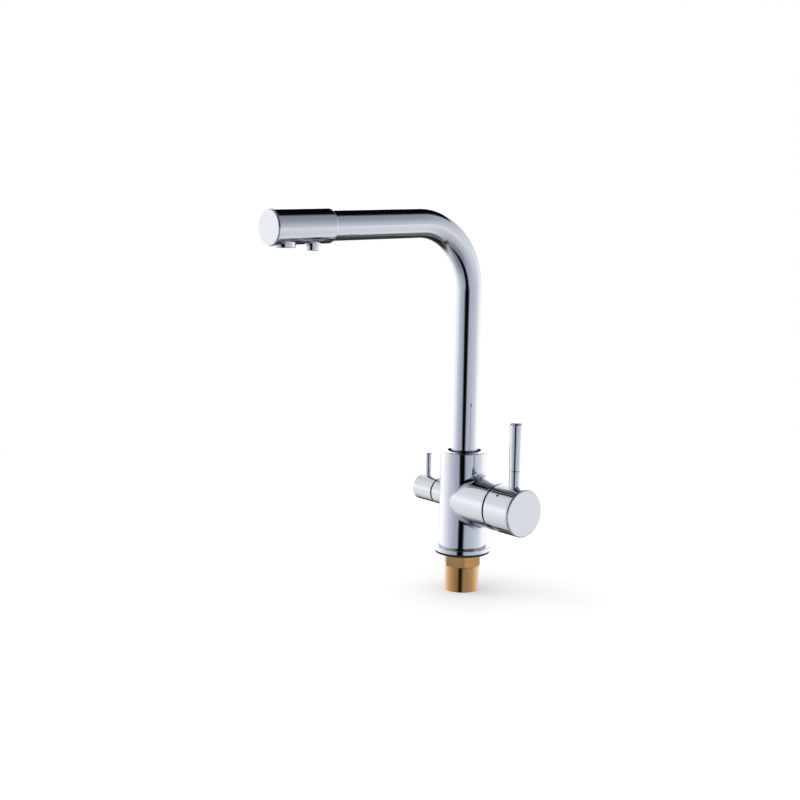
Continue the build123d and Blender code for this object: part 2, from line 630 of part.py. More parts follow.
dome_far_x = pivot_x + dome_sphere_r + OVERCUT
dome_hole_r = dome_sphere_r * math.sin(tilt) + stem_r + 2 * CLEAR
dome = rod_x(dome_r, nut_x1, dome_far_x) & tilt_ball(dome_sphere_r)
hollow = rod_x(dome_r - DOME_WALL, nut_x1 - OVERCUT, dome_far_x)
hollow = hollow & tilt_ball(dome_sphere_r - DOME_WALL)
nodes["dome_ring"] = dome - hollow - rod_x(dome_hole_r, nut_x1 - OVERCUT, dome_far_x + OVERCUT)

# Mixer knob
knob_in_r = branch_r - KNOB_WALL
boss_r = PIN_BASE_D / 2 + PIN_BOSS_WALL
knob = rod_x(branch_r, knob_x0, knob_x1)
knob = chamfer(last_edges(knob, Axis.X), CAP_SEAM)
hollow = rod_x(knob_in_r, web_x, knob_x1 + OVERCUT) - rod_x(HUB_D / 2, web_x, stem_x1 + HUB_END)
hollow -= rod_z(boss_r, branch_z, branch_z + branch_r, pin_x)
knob -= [
    tilt_ball(knob_sphere_r),
    hollow,
    rod_x(stem_r + FIT, hub_x - OVERCUT, stem_x1 + CLEAR),
    rod_z(PIN_BASE_D / 2 + FIT, seat_z, branch_z + branch_r + OVERCUT, pin_x),
    rod_z(STUD_D / 2 + FIT, seat_z - STUD_DEPTH - CLEAR, seat_z + OVERCUT, pin_x),
    spoke(GRUB_D / 2 + FIT, 0, branch_r + OVERCUT, grub_x, GRUB_TURN),
]
nodes["mixer_knob"] = knob
nodes["knob_screw"] = grub(stem_r, branch_r, grub_x, GRUB_TURN)
knob_cap = flat_cap(branch_r, knob_in_r - FIT, KNOB_CAP_T)
nodes["knob_cap"] = Pos(knob_x1, 0, branch_z) * Rot(0, 90, 0) * knob_cap

ferrule = rod_z(PIN_BASE_D / 2, seat_z, seam_z, pin_x)
ferrule = chamfer(last_edges(ferrule, Axis.Z), EDGE)
nodes["lever_ferrule"] = ferrule - rod_z(STUD_D / 2 + FIT, seat_z - OVERCUT, seam_z + OVERCUT, pin_x)
rod = Pos(pin_x, 0, seam_z) * Cone(PIN_BASE_D / 2, PIN_TIP_D / 2, PIN_LENGTH, align=BOTTOM)
rod = chamfer(last_edges(rod, Axis.Z), PIN_BEVEL)
rod = chamfer(first_edges(rod, Axis.Z), EDGE)
nodes["pin_lever"] = rod + rod_z(STUD_D / 2, seat_z - STUD_DEPTH, seam_z, pin_x)

# Filtered-water valve
nodes["filter_seal"] = rod_left(SEAL_D / 2, seal_d0, seal_d1) - rod_left(SEAL_BORE_D / 2, 0, filter_d1)

filter_ports = [
    rod_left(FILTER_PORT_D / 2, seal_d1 - OVERCUT, filter_moving_d0, y)
    for y in (FILTER_PORT_R, -FILTER_PORT_R)
]
nodes["filter_fixed_disc"] = rod_left(barrel_in_r - FIT, seal_d1, filter_fixed_d1) - filter_ports
turning_r = barrel_in_r - FILTER_DISC_GAP
moving_ports = [
    rod_left(FILTER_PORT_D / 2, filter_fixed_d1, filter_moving_d1 + OVERCUT, 0, branch_z + dz)
    for dz in (FILTER_PORT_R, -FILTER_PORT_R)
]
nodes["filter_moving_disc"] = rod_left(turning_r, filter_moving_d0, filter_moving_d1) - moving_ports

headwork = rod_left(barrel_r, seal_d1, thread_d0) + rod_left(headwork_r, thread_d0, thread_d1)
headwork += rod_left(HEADWORK_NECK_D / 2, thread_d1, filter_neck_d1)
headwork -= rod_left(barrel_in_r, seal_d1 - OVERCUT, barrel_d1)
headwork -= rod_left(spindle_r + RUN, barrel_d1 - OVERCUT, filter_neck_d1 + OVERCUT)
window = rod_z(WINDOW_D / 2, branch_z - barrel_r - OVERCUT, branch_z + barrel_r + OVERCUT, -filter_moving_d1)
nodes["filter_headwork"] = headwork - window

spindle_ring_d = (thread_d0 + thread_d1) / 2
filter_spindle = rod_left(turning_r, filter_moving_d1, foot_d1) + rod_left(spindle_r, foot_d1, spindle_d1)
ring_groove = Rot(0, 90, 0) * groove_z(spindle_r, SPINDLE_RING_D, 0)
filter_spindle -= Pos(-spindle_ring_d, 0, branch_z) * ring_groove
filter_spindle -= flat(spindle_r, -spindle_d1 - OVERCUT, -filter_recess_d1, FILTER_GRUB_TURN)
nodes["filter_spindle"] = filter_spindle
spindle_ring = Rot(0, 90, 0) * seal_ring(SPINDLE_RING_D, spindle_r)
nodes["spindle_ring"] = Pos(-spindle_ring_d, 0, branch_z) * spindle_ring

filter_knob = rod_left(filter_r, filter_knob_d0, filter_knob_d1)
filter_knob = chamfer(first_edges(filter_knob, Axis.X) + last_edges(filter_knob, Axis.X), EDGE)
filter_stud_z = filter_seat_z - FILTER_STUD_DEPTH
filter_knob -= [
    rod_left(HEADWORK_NECK_D / 2 + CLEAR, filter_knob_d0 - OVERCUT, filter_recess_d1),
    rod_left(spindle_r + FIT, filter_knob_d0, spindle_d1 + CLEAR),
    rod_z(FILTER_PIN_BASE_D / 2 + FIT, filter_seat_z, branch_z + filter_r + OVERCUT, -filter_pin_d),
    rod_z(FILTER_STUD_D / 2 + FIT, filter_stud_z - CLEAR, filter_seat_z + OVERCUT, -filter_pin_d),
    spoke(GRUB_D / 2 + FIT, 0, filter_r + OVERCUT, -filter_grub_d, FILTER_GRUB_TURN),
]
nodes["filter_knob"] = filter_knob
nodes["filter_knob_screw"] = grub(spindle_r, filter_r, -filter_grub_d, FILTER_GRUB_TURN)
filter_rod_z = branch_z + filter_r
filter_rod = Cone(FILTER_PIN_BASE_D / 2, FILTER_PIN_TIP_D / 2, FILTER_PIN_LENGTH, align=BOTTOM)
filter_rod = Pos(-filter_pin_d, 0, filter_rod_z) * filter_rod
filter_rod = chamfer(last_edges(filter_rod, Axis.Z), FILTER_PIN_BEVEL)
filter_pin = filter_rod + rod_z(FILTER_PIN_BASE_D / 2, filter_seat_z, filter_rod_z, -filter_pin_d)
nodes["filter_pin"] = filter_pin + rod_z(FILTER_STUD_D / 2, filter_stud_z, filter_seat_z, -filter_pin_d)

os.makedirs("parts", exist_ok=True)
for name, piece in nodes.items():
    export_step(piece, f"parts/{name}.step")
print(len(nodes), "pieces")
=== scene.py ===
import logging
import math
from dataclasses import dataclass, field
from enum import Enum
from typing import Any

import bpy
from mathutils import Matrix, Vector


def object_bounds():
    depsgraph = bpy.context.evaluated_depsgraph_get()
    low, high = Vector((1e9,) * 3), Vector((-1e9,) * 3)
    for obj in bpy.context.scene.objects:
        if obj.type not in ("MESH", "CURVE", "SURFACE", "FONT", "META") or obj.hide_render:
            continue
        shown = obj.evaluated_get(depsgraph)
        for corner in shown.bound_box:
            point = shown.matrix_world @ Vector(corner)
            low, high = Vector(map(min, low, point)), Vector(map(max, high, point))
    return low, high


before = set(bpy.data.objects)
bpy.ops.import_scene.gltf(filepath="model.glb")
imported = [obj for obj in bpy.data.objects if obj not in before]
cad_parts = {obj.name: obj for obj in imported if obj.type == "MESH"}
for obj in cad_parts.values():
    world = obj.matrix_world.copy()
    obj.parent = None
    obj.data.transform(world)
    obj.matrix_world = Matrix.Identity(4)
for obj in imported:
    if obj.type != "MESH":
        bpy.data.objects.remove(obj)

logging.basicConfig(level=logging.INFO, format="%(name)s: %(message)s")
LOG = logging.getLogger("tap")
CAD_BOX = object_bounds()
MM = 0.001
WHITE = "#FFFFFF"
WAVE_PERIOD = math.tau / 20    # of the wave texture at a scale of 1
RGBA = tuple[float, float, float, float]
Pair = tuple[float, float]
Stops = list[tuple[float, str]]
Tree = bpy.types.NodeTree
Node = bpy.types.Node
Socket = bpy.types.NodeSocket


class Slot(Enum):
    """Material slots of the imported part."""

    CHROME = "chrome"
    BRASS = "brass"
    RUBBER = "rubber"
    CERAMIC = "ceramic"
    PLASTIC = "plastic"
    HOSE = "hose"
    STEEL = "steel"


def linear(colour: str) -> RGBA:
    """Turns an sRGB hex colour to linear values.

    Args:
        colour: six hex digits after a hash sign.

    Returns:
        Red, green, blue and full opacity, as the nodes expect them.
    """
    parts = [int(colour[i:i + 2], 16) / 255 for i in (1, 3, 5)]
    red, green, blue = (c / 12.92 if c <= 0.04045 else ((c + 0.055) / 1.055) ** 2.4 for c in parts)
    return red, green, blue, 1.0


def radians(edge_deg: Pair) -> Pair:
    """Turns a pair of angles to radians.

    Args:
        edge_deg: two angles in degrees.

    Returns:
        The same angles in radians.
    """
    return math.radians(edge_deg[0]), math.radians(edge_deg[1])


def add_node(tree: Tree, kind: str, inputs: dict | None = None, **settings: Any) -> Node:
    """Adds one node with its settings, its constant inputs and its links.

    Args:
        tree: node tree that takes the node.
        kind: Blender's name of the node type.
        inputs: input name or number to a constant, or to the socket that feeds it.
        settings: the node's own properties.

    Returns:
        The new node.
    """
    made = tree.nodes.new(kind)
    for name, value in settings.items():
        setattr(made, name, value)
    for key, value in (inputs or {}).items():
        if isinstance(value, Socket):
            tree.links.new(value, made.inputs[key])
        else:
            made.inputs[key].default_value = value
    return made


@dataclass
class Sums:
    """Sums in a node tree, one node each."""

    tree: Tree

    def reckon(self, operation: str, *values: Any) -> Socket:
        """Adds one sum.

        Args:
            operation: Blender's name of the operation.
            values: constants, or the sockets that feed it, in order.

        Returns:
            What comes out.
        """
        made = add_node(self.tree, "ShaderNodeMath", dict(enumerate(values)), operation=operation)
        return made.outputs[0]

    def product(self, first: Any, *others: Any) -> Socket:
        """Multiplies values together.

        Args:
            first: a constant or a socket.
            others: constants or sockets that multiply it.

        Returns:
            The product.
        """
        made = first
        for other in others:
            made = self.reckon("MULTIPLY", made, other)
        return made

    def toward(self, ray: Socket, aim: Vector) -> Socket:
        """Compares a ray with a direction.

        Args:
            ray: unit vector.
            aim: unit vector that it is compared with.

        Returns:
            The cosine of the angle between them.
        """
        made = add_node(self.tree, "ShaderNodeVectorMath", {0: ray, 1: aim}, operation="DOT_PRODUCT")
        return made.outputs["Value"]

    def step(self, value: Socket, edge: Pair, low: float, high: float, soft: bool = True) -> Socket:
        """Adds a step from one level to another.

        Args:
            value: what the step depends on.
            edge: values at which the step starts and ends.
            low: level before the step.
            high: level after the step.
            soft: whether the step eases in and out, or else goes straight.

        Returns:
            The level.
        """
        made = add_node(self.tree, "ShaderNodeMapRange", {
            "Value": value, "From Min": edge[0], "From Max": edge[1], "To Min": low, "To Max": high},
            interpolation_type="SMOOTHSTEP" if soft else "LINEAR")
        return made.outputs["Result"]

    def ramp(self, value: Socket, stops: Stops) -> Socket:
        """Adds a colour ramp.

        Args:
            value: place on the ramp, from 0 to 1.
            stops: place and hex colour of each stop, in order.

        Returns:
            The colour.
        """
        made = add_node(self.tree, "ShaderNodeValToRGB", {"Fac": value})
        elements = made.color_ramp.elements
        while len(elements) < len(stops):
            elements.new(1.0)
        for element, (place, colour) in zip(elements, stops):
            element.position = place
            element.color = linear(colour)
        return made.outputs["Color"]

    def mix(self, share: Any, first: Any, second: Any, blend: str = "MIX") -> Socket:
        """Mixes two colours.

        Args:
            share: share of the second colour, or the socket that feeds it.
            first: a colour, or the socket that feeds it.
            second: a colour, or the socket that feeds it.
            blend: Blender's name of the way that they are mixed.

        Returns:
            The mixed colour.
        """
        made = add_node(self.tree, "ShaderNodeMix", {0: share, 6: first, 7: second},
                        data_type="RGBA", blend_type=blend)
        return made.outputs[2]


@dataclass(frozen=True)
class Finish:
    """A surface finish: what the material is and how it was made.

    The pattern sizes are real sizes in millimetres, and a subclass draws its own detail.
    """

    name: str
    colour: str
    shade: str
    roughness: Pair
    metallic: float = 0.0
    patch_mm: float = 6.0
    patch_edge: Pair = (0.3, 0.7)

    def material(self) -> bpy.types.Material:
        """Builds the material.

        Returns:
            A node material named for the finish.
        """
        made = bpy.data.materials.new(self.name)
        made.use_nodes = True
        made.diffuse_color = linear(self.colour)
        tree = made.node_tree
        shader = tree.nodes["Principled BSDF"]
        shader.inputs["Metallic"].default_value = self.metallic
        place = add_node(tree, "ShaderNodeTexCoord").outputs["Object"]
        self.mottle(tree, shader, place)
        self.detail(tree, shader, place)
        return made

    def mottle(self, tree: Tree, shader: Node, place: Socket) -> None:
        """Varies colour and roughness in soft patches.

        Args:
            tree: the material's nodes.
            shader: its surface shader.
            place: object coordinates in metres.
        """
        noise = add_node(tree, "ShaderNodeTexNoise", {
            "Vector": place, "Scale": 1 / (self.patch_mm * MM), "Detail": 3.0, "Roughness": 0.55})
        patch = noise.outputs["Fac"]
        sums = Sums(tree)
        tint = sums.mix(patch, linear(self.colour), linear(self.shade))
        gloss = sums.step(patch, self.patch_edge, *self.roughness, soft=False)
        tree.links.new(tint, shader.inputs["Base Color"])
        tree.links.new(gloss, shader.inputs["Roughness"])

    def detail(self, tree: Tree, shader: Node, place: Socket) -> None:
        """Draws what is special to the finish.

        Args:
            tree: the material's nodes.
            shader: its surface shader.
            place: object coordinates in metres.
        """
        raise NotImplementedError

    def relief(self, tree: Tree, shader: Node, height: Socket, depth_mm: float, share: float) -> Node:
        """Raises the surface by a height pattern.

        Args:
            tree: the material's nodes.
            shader: its surface shader.
            height: pattern from 0 to 1.
            depth_mm: depth of the pattern.
            share: share of the effect.

        Returns:
            The node that raises it.
        """
        bump = add_node(tree, "ShaderNodeBump", {
            "Height": height, "Distance": depth_mm * MM, "Strength": share})
        tree.links.new(bump.outputs["Normal"], shader.inputs["Normal"])
        return bump


@dataclass(frozen=True)
class ChromePlate(Finish):
    """Bright chrome on polished brass: a mirror with a faint wave from the buffing wheel and thin haze."""

    wave_mm: float = 7.0
    wave_depth_mm: float = 0.0015
    wave_share: float = 0.35

    def detail(self, tree: Tree, shader: Node, place: Socket) -> None:
        """Draws the buffing wave."""
        wave = add_node(tree, "ShaderNodeTexNoise", {
            "Vector": place, "Scale": 1 / (self.wave_mm * MM), "Detail": 1.0, "Roughness": 0.4})
        self.relief(tree, shader, wave.outputs["Fac"], self.wave_depth_mm, self.wave_share)


@dataclass(frozen=True)
class TurnedMetal(Finish):
    """Bare metal from the lathe: fine rings round the upright axis, broken edges and patches of dulling."""

    ring_mm: float = 0.5
    ring_depth_mm: float = 0.012
    ring_share: float = 0.5
    edge_mm: float = 1.0
    lacquer: float = 0.0

    def detail(self, tree: Tree, shader: Node, place: Socket) -> None:
        """Draws the tool rings, coarser than real to show, the broken edges and the lacquer."""
        rings = add_node(tree, "ShaderNodeTexWave", {
            "Vector": place, "Scale": WAVE_PERIOD / (self.ring_mm * MM), "Distortion": 0.6, "Detail": 2.0,
            "Detail Scale": 1.5}, wave_type="BANDS", bands_direction="Z", wave_profile="SIN")
        raised = self.relief(tree, shader, rings.outputs["Fac"], self.ring_depth_mm, self.ring_share)
        edges = add_node(tree, "ShaderNodeBevel", {"Radius": self.edge_mm * MM}, samples=8)
        tree.links.new(edges.outputs["Normal"], raised.inputs["Normal"])
        shader.inputs["Coat Weight"].default_value = self.lacquer


@dataclass(frozen=True)
class Moulded(Finish):
    """Moulded rubber or plastic, or fired ceramic: an even body with a fine grain from mould or kiln."""

    grain_mm: float = 0.4
    grain_depth_mm: float = 0.03
    grain_share: float = 0.6

    def detail(self, tree: Tree, shader: Node, place: Socket) -> None:
        """Draws the grain."""
        grain = add_node(tree, "ShaderNodeTexNoise", {
            "Vector": place, "Scale": 1 / (self.grain_mm * MM), "Detail": 3.0})
        self.relief(tree, shader, grain.outputs["Fac"], self.grain_depth_mm, self.grain_share)


FINISHES: dict[Slot, Finish] = {
    Slot.CHROME: ChromePlate(
        "chrome_plate_polished", "#CED1D5", "#CBCED2", (0.03, 0.05), metallic=1.0, patch_mm=18.0),
    Slot.BRASS: TurnedMetal(
        "brass_turned", "#BB8B49", "#AF7E40", (0.17, 0.25), metallic=1.0, patch_mm=9.0, lacquer=1.0),
    Slot.STEEL: TurnedMetal(
        "stainless_steel_turned", "#C2C5C9", "#A9ACB1", (0.22, 0.34), metallic=1.0, patch_mm=9.0),
    Slot.RUBBER: Moulded("epdm_rubber_moulded", "#17181A", "#202124", (0.6, 0.75)),
    Slot.CERAMIC: Moulded(
        "alumina_ceramic_lapped", "#EFECE4", "#E2DED4", (0.18, 0.28),
        patch_mm=5.0, grain_mm=0.3, grain_depth_mm=0.01),
    Slot.PLASTIC: Moulded(
        "acetal_moulded", "#2B2D30", "#34363A", (0.38, 0.5),
        patch_mm=8.0, grain_mm=0.35, grain_depth_mm=0.012),
    Slot.HOSE: Moulded(
        "silicone_tube_extruded", "#D8DAD6", "#C9CCC9", (0.35, 0.45),
        patch_mm=10.0, grain_mm=0.5, grain_depth_mm=0.01),
}


@dataclass
class Paintbox:
    """Makes each finish once and hands it out."""

    made: dict[Slot, bpy.types.Material] = field(default_factory=dict)

    def coat(self, node_name: str, slot: Slot) -> None:
        """Dresses one CAD node.

        Args:
            node_name: name of the node in the frame.
            slot: finish that it takes.
        """
        if slot not in self.made:
            self.made[slot] = FINISHES[slot].material()
        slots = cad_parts[node_name].material_slots
        for one in slots:
            one.material = self.made[slot]
        LOG.info("%s in %s", node_name, self.made[slot].name)


@dataclass
class SubAssembly:
    """A group of pieces that are fitted together."""

    paints: Paintbox
    pieces: dict[str, Slot] = field(default_factory=dict)

    def dress(self) -> None:
        """Gives each piece its finish."""
        for name, slot in self.pieces.items():
            self.paints.coat(name, slot)


@dataclass
class Base(SubAssembly):
    """What stands on the worktop and goes through it: gasket, flange and shank."""

    pieces: dict[str, Slot] = field(default_factory=lambda: {
        "base_gasket": Slot.RUBBER,
        "base_flange": Slot.CHROME,
        "shank": Slot.BRASS,
    })


@dataclass
class Body(SubAssembly):
    """The plated casting, with the washer and the screw that hold the spout in it."""

    pieces: dict[str, Slot] = field(default_factory=lambda: {
        "mixer_body": Slot.CHROME,
        "spout_washer": Slot.PLASTIC,
        "spout_keeper": Slot.STEEL,
    })


@dataclass
class Spout(SubAssembly):
    """The L-shaped tube with its swivel foot and the inner tube for filtered water."""

    pieces: dict[str, Slot] = field(default_factory=lambda: {
        "spout_tube": Slot.CHROME,
        "spout_spigot": Slot.BRASS,
        "spigot_ring_upper": Slot.RUBBER,
        "spigot_ring_lower": Slot.RUBBER,
        "tail_ring": Slot.RUBBER,
        "inner_tube": Slot.HOSE,
    })


@dataclass
class SpoutHead(SubAssembly):
    """The sleeve at the end of the arm with its two outlets."""

    pieces: dict[str, Slot] = field(default_factory=lambda: {
        "spout_head": Slot.CHROME,
        "head_cap": Slot.CHROME,
        "aerator_housing": Slot.CHROME,
        "aerator_insert": Slot.PLASTIC,
        "aerator_washer": Slot.RUBBER,
        "filter_nozzle": Slot.CHROME,
    })


@dataclass
class MixingValve(SubAssembly):
    """The ceramic cartridge in the mixer branch and the ring that the knob tilts over."""

    pieces: dict[str, Slot] = field(default_factory=lambda: {
        "cartridge_gasket": Slot.RUBBER,
        "cartridge_base": Slot.PLASTIC,
        "cartridge_case": Slot.PLASTIC,
        "fixed_disc": Slot.CERAMIC,
        "moving_disc": Slot.CERAMIC,
        "disc_driver": Slot.PLASTIC,
        "stem_carrier": Slot.PLASTIC,
        "pivot_pin": Slot.STEEL,
        "lever_spindle": Slot.BRASS,
        "cartridge_nut": Slot.BRASS,
        "dome_ring": Slot.PLASTIC,
    })


@dataclass
class MixerHandle(SubAssembly):
    """The mixer knob, its cap, its set screw and its pin lever."""

    pieces: dict[str, Slot] = field(default_factory=lambda: {
        "mixer_knob": Slot.CHROME,
        "knob_cap": Slot.CHROME,
        "knob_screw": Slot.STEEL,
        "lever_ferrule": Slot.CHROME,
        "pin_lever": Slot.CHROME,
    })


@dataclass
class FilterValve(SubAssembly):
    """The quarter-turn valve for filtered water and its knob."""

    pieces: dict[str, Slot] = field(default_factory=lambda: {
        "filter_seal": Slot.RUBBER,
        "filter_headwork": Slot.BRASS,
        "filter_fixed_disc": Slot.CERAMIC,
        "filter_moving_disc": Slot.CERAMIC,
        "filter_spindle": Slot.BRASS,
        "spindle_ring": Slot.RUBBER,
        "filter_knob": Slot.CHROME,
        "filter_knob_screw": Slot.STEEL,
        "filter_pin": Slot.CHROME,
    })


@dataclass
class Viewpoint:
    """The camera: turned about the upright axis and raised, aimed at a point beside the tap."""

    azimuth_deg: float = 49.846
    elevation_deg: float = 9.564
    roll_deg: float = 0.949
    distance_mm: float = 1531.143
    aim_side_mm: float = -65.48
    aim_height_mm: float = 153.777
    lens_mm: float = 69.1214
    sensor_mm: float = 36.0

    def axes(self) -> tuple[Vector, Vector, Vector]:
        """Works out the camera's own axes before any roll.

        Returns:
            Its right, its up, and the way back from the tap to it.
        """
        turn, lift = math.radians(self.azimuth_deg), math.radians(self.elevation_deg)
        back = Vector((math.sin(turn) * math.cos(lift), -math.cos(turn) * math.cos(lift), math.sin(lift)))
        right = Vector((math.cos(turn), math.sin(turn), 0))
        return right, back.cross(right), back

    def place(self) -> None:
        """Adds the camera and makes it the scene's."""
        right, up, back = self.axes()
        roll = math.radians(self.roll_deg)
        aim = right * self.aim_side_mm + Vector((0, 0, self.aim_height_mm))
        spot = (aim + back * self.distance_mm) * MM
        level = right * math.cos(roll) + up * math.sin(roll)
        upright = up * math.cos(roll) - right * math.sin(roll)
        turned = Matrix((level, upright, back)).transposed().to_4x4()
        camera_data = bpy.data.cameras.new("camera")
        camera_data.lens = self.lens_mm
        camera_data.sensor_width = self.sensor_mm
        camera = bpy.data.objects.new("camera", camera_data)
        bpy.context.scene.collection.objects.link(camera)
        camera.matrix_world = Matrix.Translation(spot) @ turned
        bpy.context.scene.camera = camera
        LOG.info("camera placed")


@dataclass
class Gaze:
    """A mirrored ray, taken apart by nodes: itself, its rise, its share to the right and its bearing."""

    ray: Socket
    rise: Socket
    side: Socket
    bearing: Socket


@dataclass
class Tent:
    """The white studio tent that the chrome mirrors.

    Its cloth gets paler towards the sides and has its own shading by height at the left and at the right.
    It is dim in front above the table, where a dark flag hangs, and behind below the table's edge, with
    a dark spot lower down, and it has a faint sheen at the left.
    Directions are seen from the tap: a bearing from the camera, to the viewer's right, and a height.
    A rise is the sine of a height, an edge says where a soft step starts and ends, and a level is a share
    of the light.
    """

    view: Viewpoint
    soft_level: float = 0.88
    tent_level: float = 1.5
    flag_bearing_deg: float = -11.5
    flag_width_deg: Pair = (13.8, 20.5)
    flag_rise: Pair = (-0.205, -0.06)
    flag_edge: Pair = (0.55, 1.45)
    flag_level: float = 0.006
    front_level: float = 0.25
    front_left_deg: Pair = (-95.0, -25.0)
    front_right_deg: Pair = (48.0, 72.0)
    front_rise: Pair = (-0.04, 0.08)
    front_lean_deg: float = 60.0
    front_lean_rise: Pair = (0.2, 0.45)
    back_level: float = 0.4
    back_edge_deg: Pair = (150.0, 178.0)
    back_rise: Pair = (-0.185, -0.152)
    shade_deg: Pair = (165.0, -50.0)
    shade_edge_deg: Pair = (25.0, 41.0)
    shade_level: float = 0.08
    sheen_deg: Pair = (-89.0, 2.0)
    sheen_edge_deg: Pair = (3.0, 20.0)
    sheen_level: float = 1.2
    wall_shift_deg: float = 4.0
    right_wall_start: float = 0.2
    right_wall_slope: float = 0.172
    side_edge: Pair = (0.3, 0.65)
    walls: Stops = field(default_factory=lambda: [
        (0.0, "#9EA4B2"), (0.20, "#A0A6B4"), (0.35, "#C1C4CF"), (0.48, "#DFDFE4"), (0.565, "#F2F1F3"),
        (0.60, "#FFFFFF")])
    right_heights: Stops = field(default_factory=lambda: [
        (0.0, "#D2D4D6"), (0.24, "#E7EBEC"), (0.41, "#FFFFFF"), (0.53, "#E1E5E8"), (0.68, "#BBBFC9"),
        (0.80, "#999FAB"), (0.88, "#888A96")])
    left_heights: Stops = field(default_factory=lambda: [
        (0.0, "#B0B0B0"), (0.14, "#BEBEBE"), (0.25, "#ECECEC"), (0.37, "#FFFFFF"), (0.55, "#FFFFFF"),
        (0.74, "#E9E9E9"), (0.82, "#D3D3D3"), (0.93, "#909090")])

    def direction(self, bearing_deg: float, height_deg: float) -> Vector:
        """Works out a direction in the part's frame.

        Args:
            bearing_deg: angle from the camera's bearing, to the viewer's right.
            height_deg: angle above the horizon.

        Returns:
            A unit vector.
        """
        right, _, back = self.view.axes()
        front = Vector((back.x, back.y, 0)).normalized()
        bearing, height = radians((bearing_deg, height_deg))
        flat = front * math.cos(bearing) + right * math.sin(bearing)
        return flat * math.cos(height) + Vector((0, 0, math.sin(height)))

    def look(self, sums: Sums) -> Gaze:
        """Takes the ray apart.

        Args:
            sums: the world's sums.

        Returns:
            The ray's parts.
        """
        ray = add_node(sums.tree, "ShaderNodeTexCoord").outputs["Generated"]
        rise = add_node(sums.tree, "ShaderNodeSeparateXYZ", {"Vector": ray}).outputs["Z"]
        side = sums.toward(ray, self.direction(90, 0))
        ahead = sums.toward(ray, self.direction(0, 0))
        return Gaze(ray, rise, side, sums.reckon("ARCTAN2", side, ahead))

    def cloth(self, sums: Sums, gaze: Gaze) -> Socket:
        """Colours the cloth by bearing and by height.

        Args:
            sums: the world's sums.
            gaze: the ray's parts.

        Returns:
            The colour.
        """
        swung = sums.reckon("ABSOLUTE", sums.reckon("ADD", gaze.bearing, math.radians(self.wall_shift_deg)))
        left_wall = sums.reckon("DIVIDE", swung, math.pi)
        right_wall = sums.reckon("MULTIPLY_ADD", gaze.bearing, self.right_wall_slope, self.right_wall_start)
        walls = sums.ramp(sums.reckon("MAXIMUM", left_wall, right_wall), self.walls)
        level = sums.reckon("MULTIPLY_ADD", gaze.rise, 0.5, 0.5)
        heights = sums.mix(
            sums.step(gaze.side, self.side_edge, 0.0, 1.0),
            sums.ramp(level, self.left_heights),
            sums.ramp(level, self.right_heights))
        return sums.mix(1.0, walls, heights, "MULTIPLY")

    def spot(self, sums: Sums, gaze: Gaze, middle_deg: Pair, edge_deg: Pair, level: float) -> Socket:
        """Adds a soft round spot.

        Args:
            sums: the world's sums.
            gaze: the ray's parts.
            middle_deg: bearing and height of its middle.
            edge_deg: angles from the middle at which it starts and ends to fade.
            level: level in its middle.

        Returns:
            The level, 1 outside the spot.
        """
        off = sums.reckon("ARCCOSINE", sums.toward(gaze.ray, self.direction(*middle_deg)))
        return sums.step(off, radians(edge_deg), level, 1.0)

    def front(self, sums: Sums, gaze: Gaze) -> Socket:
        """Dims the front above the table, leaning to the right higher up.

        Args:
            sums: the world's sums.
            gaze: the ray's parts.

        Returns:
            The level, 1 elsewhere.
        """
        lean = sums.step(gaze.rise, self.front_lean_rise, 0.0, math.radians(self.front_lean_deg))
        leant = sums.reckon("SUBTRACT", gaze.bearing, lean)
        cover = sums.product(
            sums.step(gaze.rise, self.front_rise, 0.0, 1.0),
            sums.step(leant, radians(self.front_left_deg), 0.0, 1.0),
            sums.step(gaze.bearing, radians(self.front_right_deg), 1.0, 0.0))
        return sums.reckon("MULTIPLY_ADD", cover, self.front_level - 1.0, 1.0)

    def behind(self, sums: Sums, gaze: Gaze) -> Socket:
        """Dims what lies behind, below the table's edge.

        Args:
            sums: the world's sums.
            gaze: the ray's parts.

        Returns:
            The level, 1 elsewhere.
        """
        round_back = sums.reckon("ABSOLUTE", gaze.bearing)
        cover = sums.product(
            sums.step(gaze.rise, self.back_rise, 1.0, 0.0),
            sums.step(round_back, radians(self.back_edge_deg), 0.0, 1.0))
        return sums.reckon("MULTIPLY_ADD", cover, self.back_level - 1.0, 1.0)

    def flag(self, sums: Sums, gaze: Gaze) -> Socket:
        """Hangs the dark flag, narrower towards its foot.

        Args:
            sums: the world's sums.
            gaze: the ray's parts.

        Returns:
            The level, 1 elsewhere.
        """
        turned = sums.reckon("SUBTRACT", gaze.bearing, math.radians(self.flag_bearing_deg))
        width = sums.step(gaze.rise, self.flag_rise, *radians(self.flag_width_deg), soft=False)
        share = sums.reckon("DIVIDE", sums.reckon("ABSOLUTE", turned), width)
        return sums.step(share, self.flag_edge, self.flag_level, 1.0)

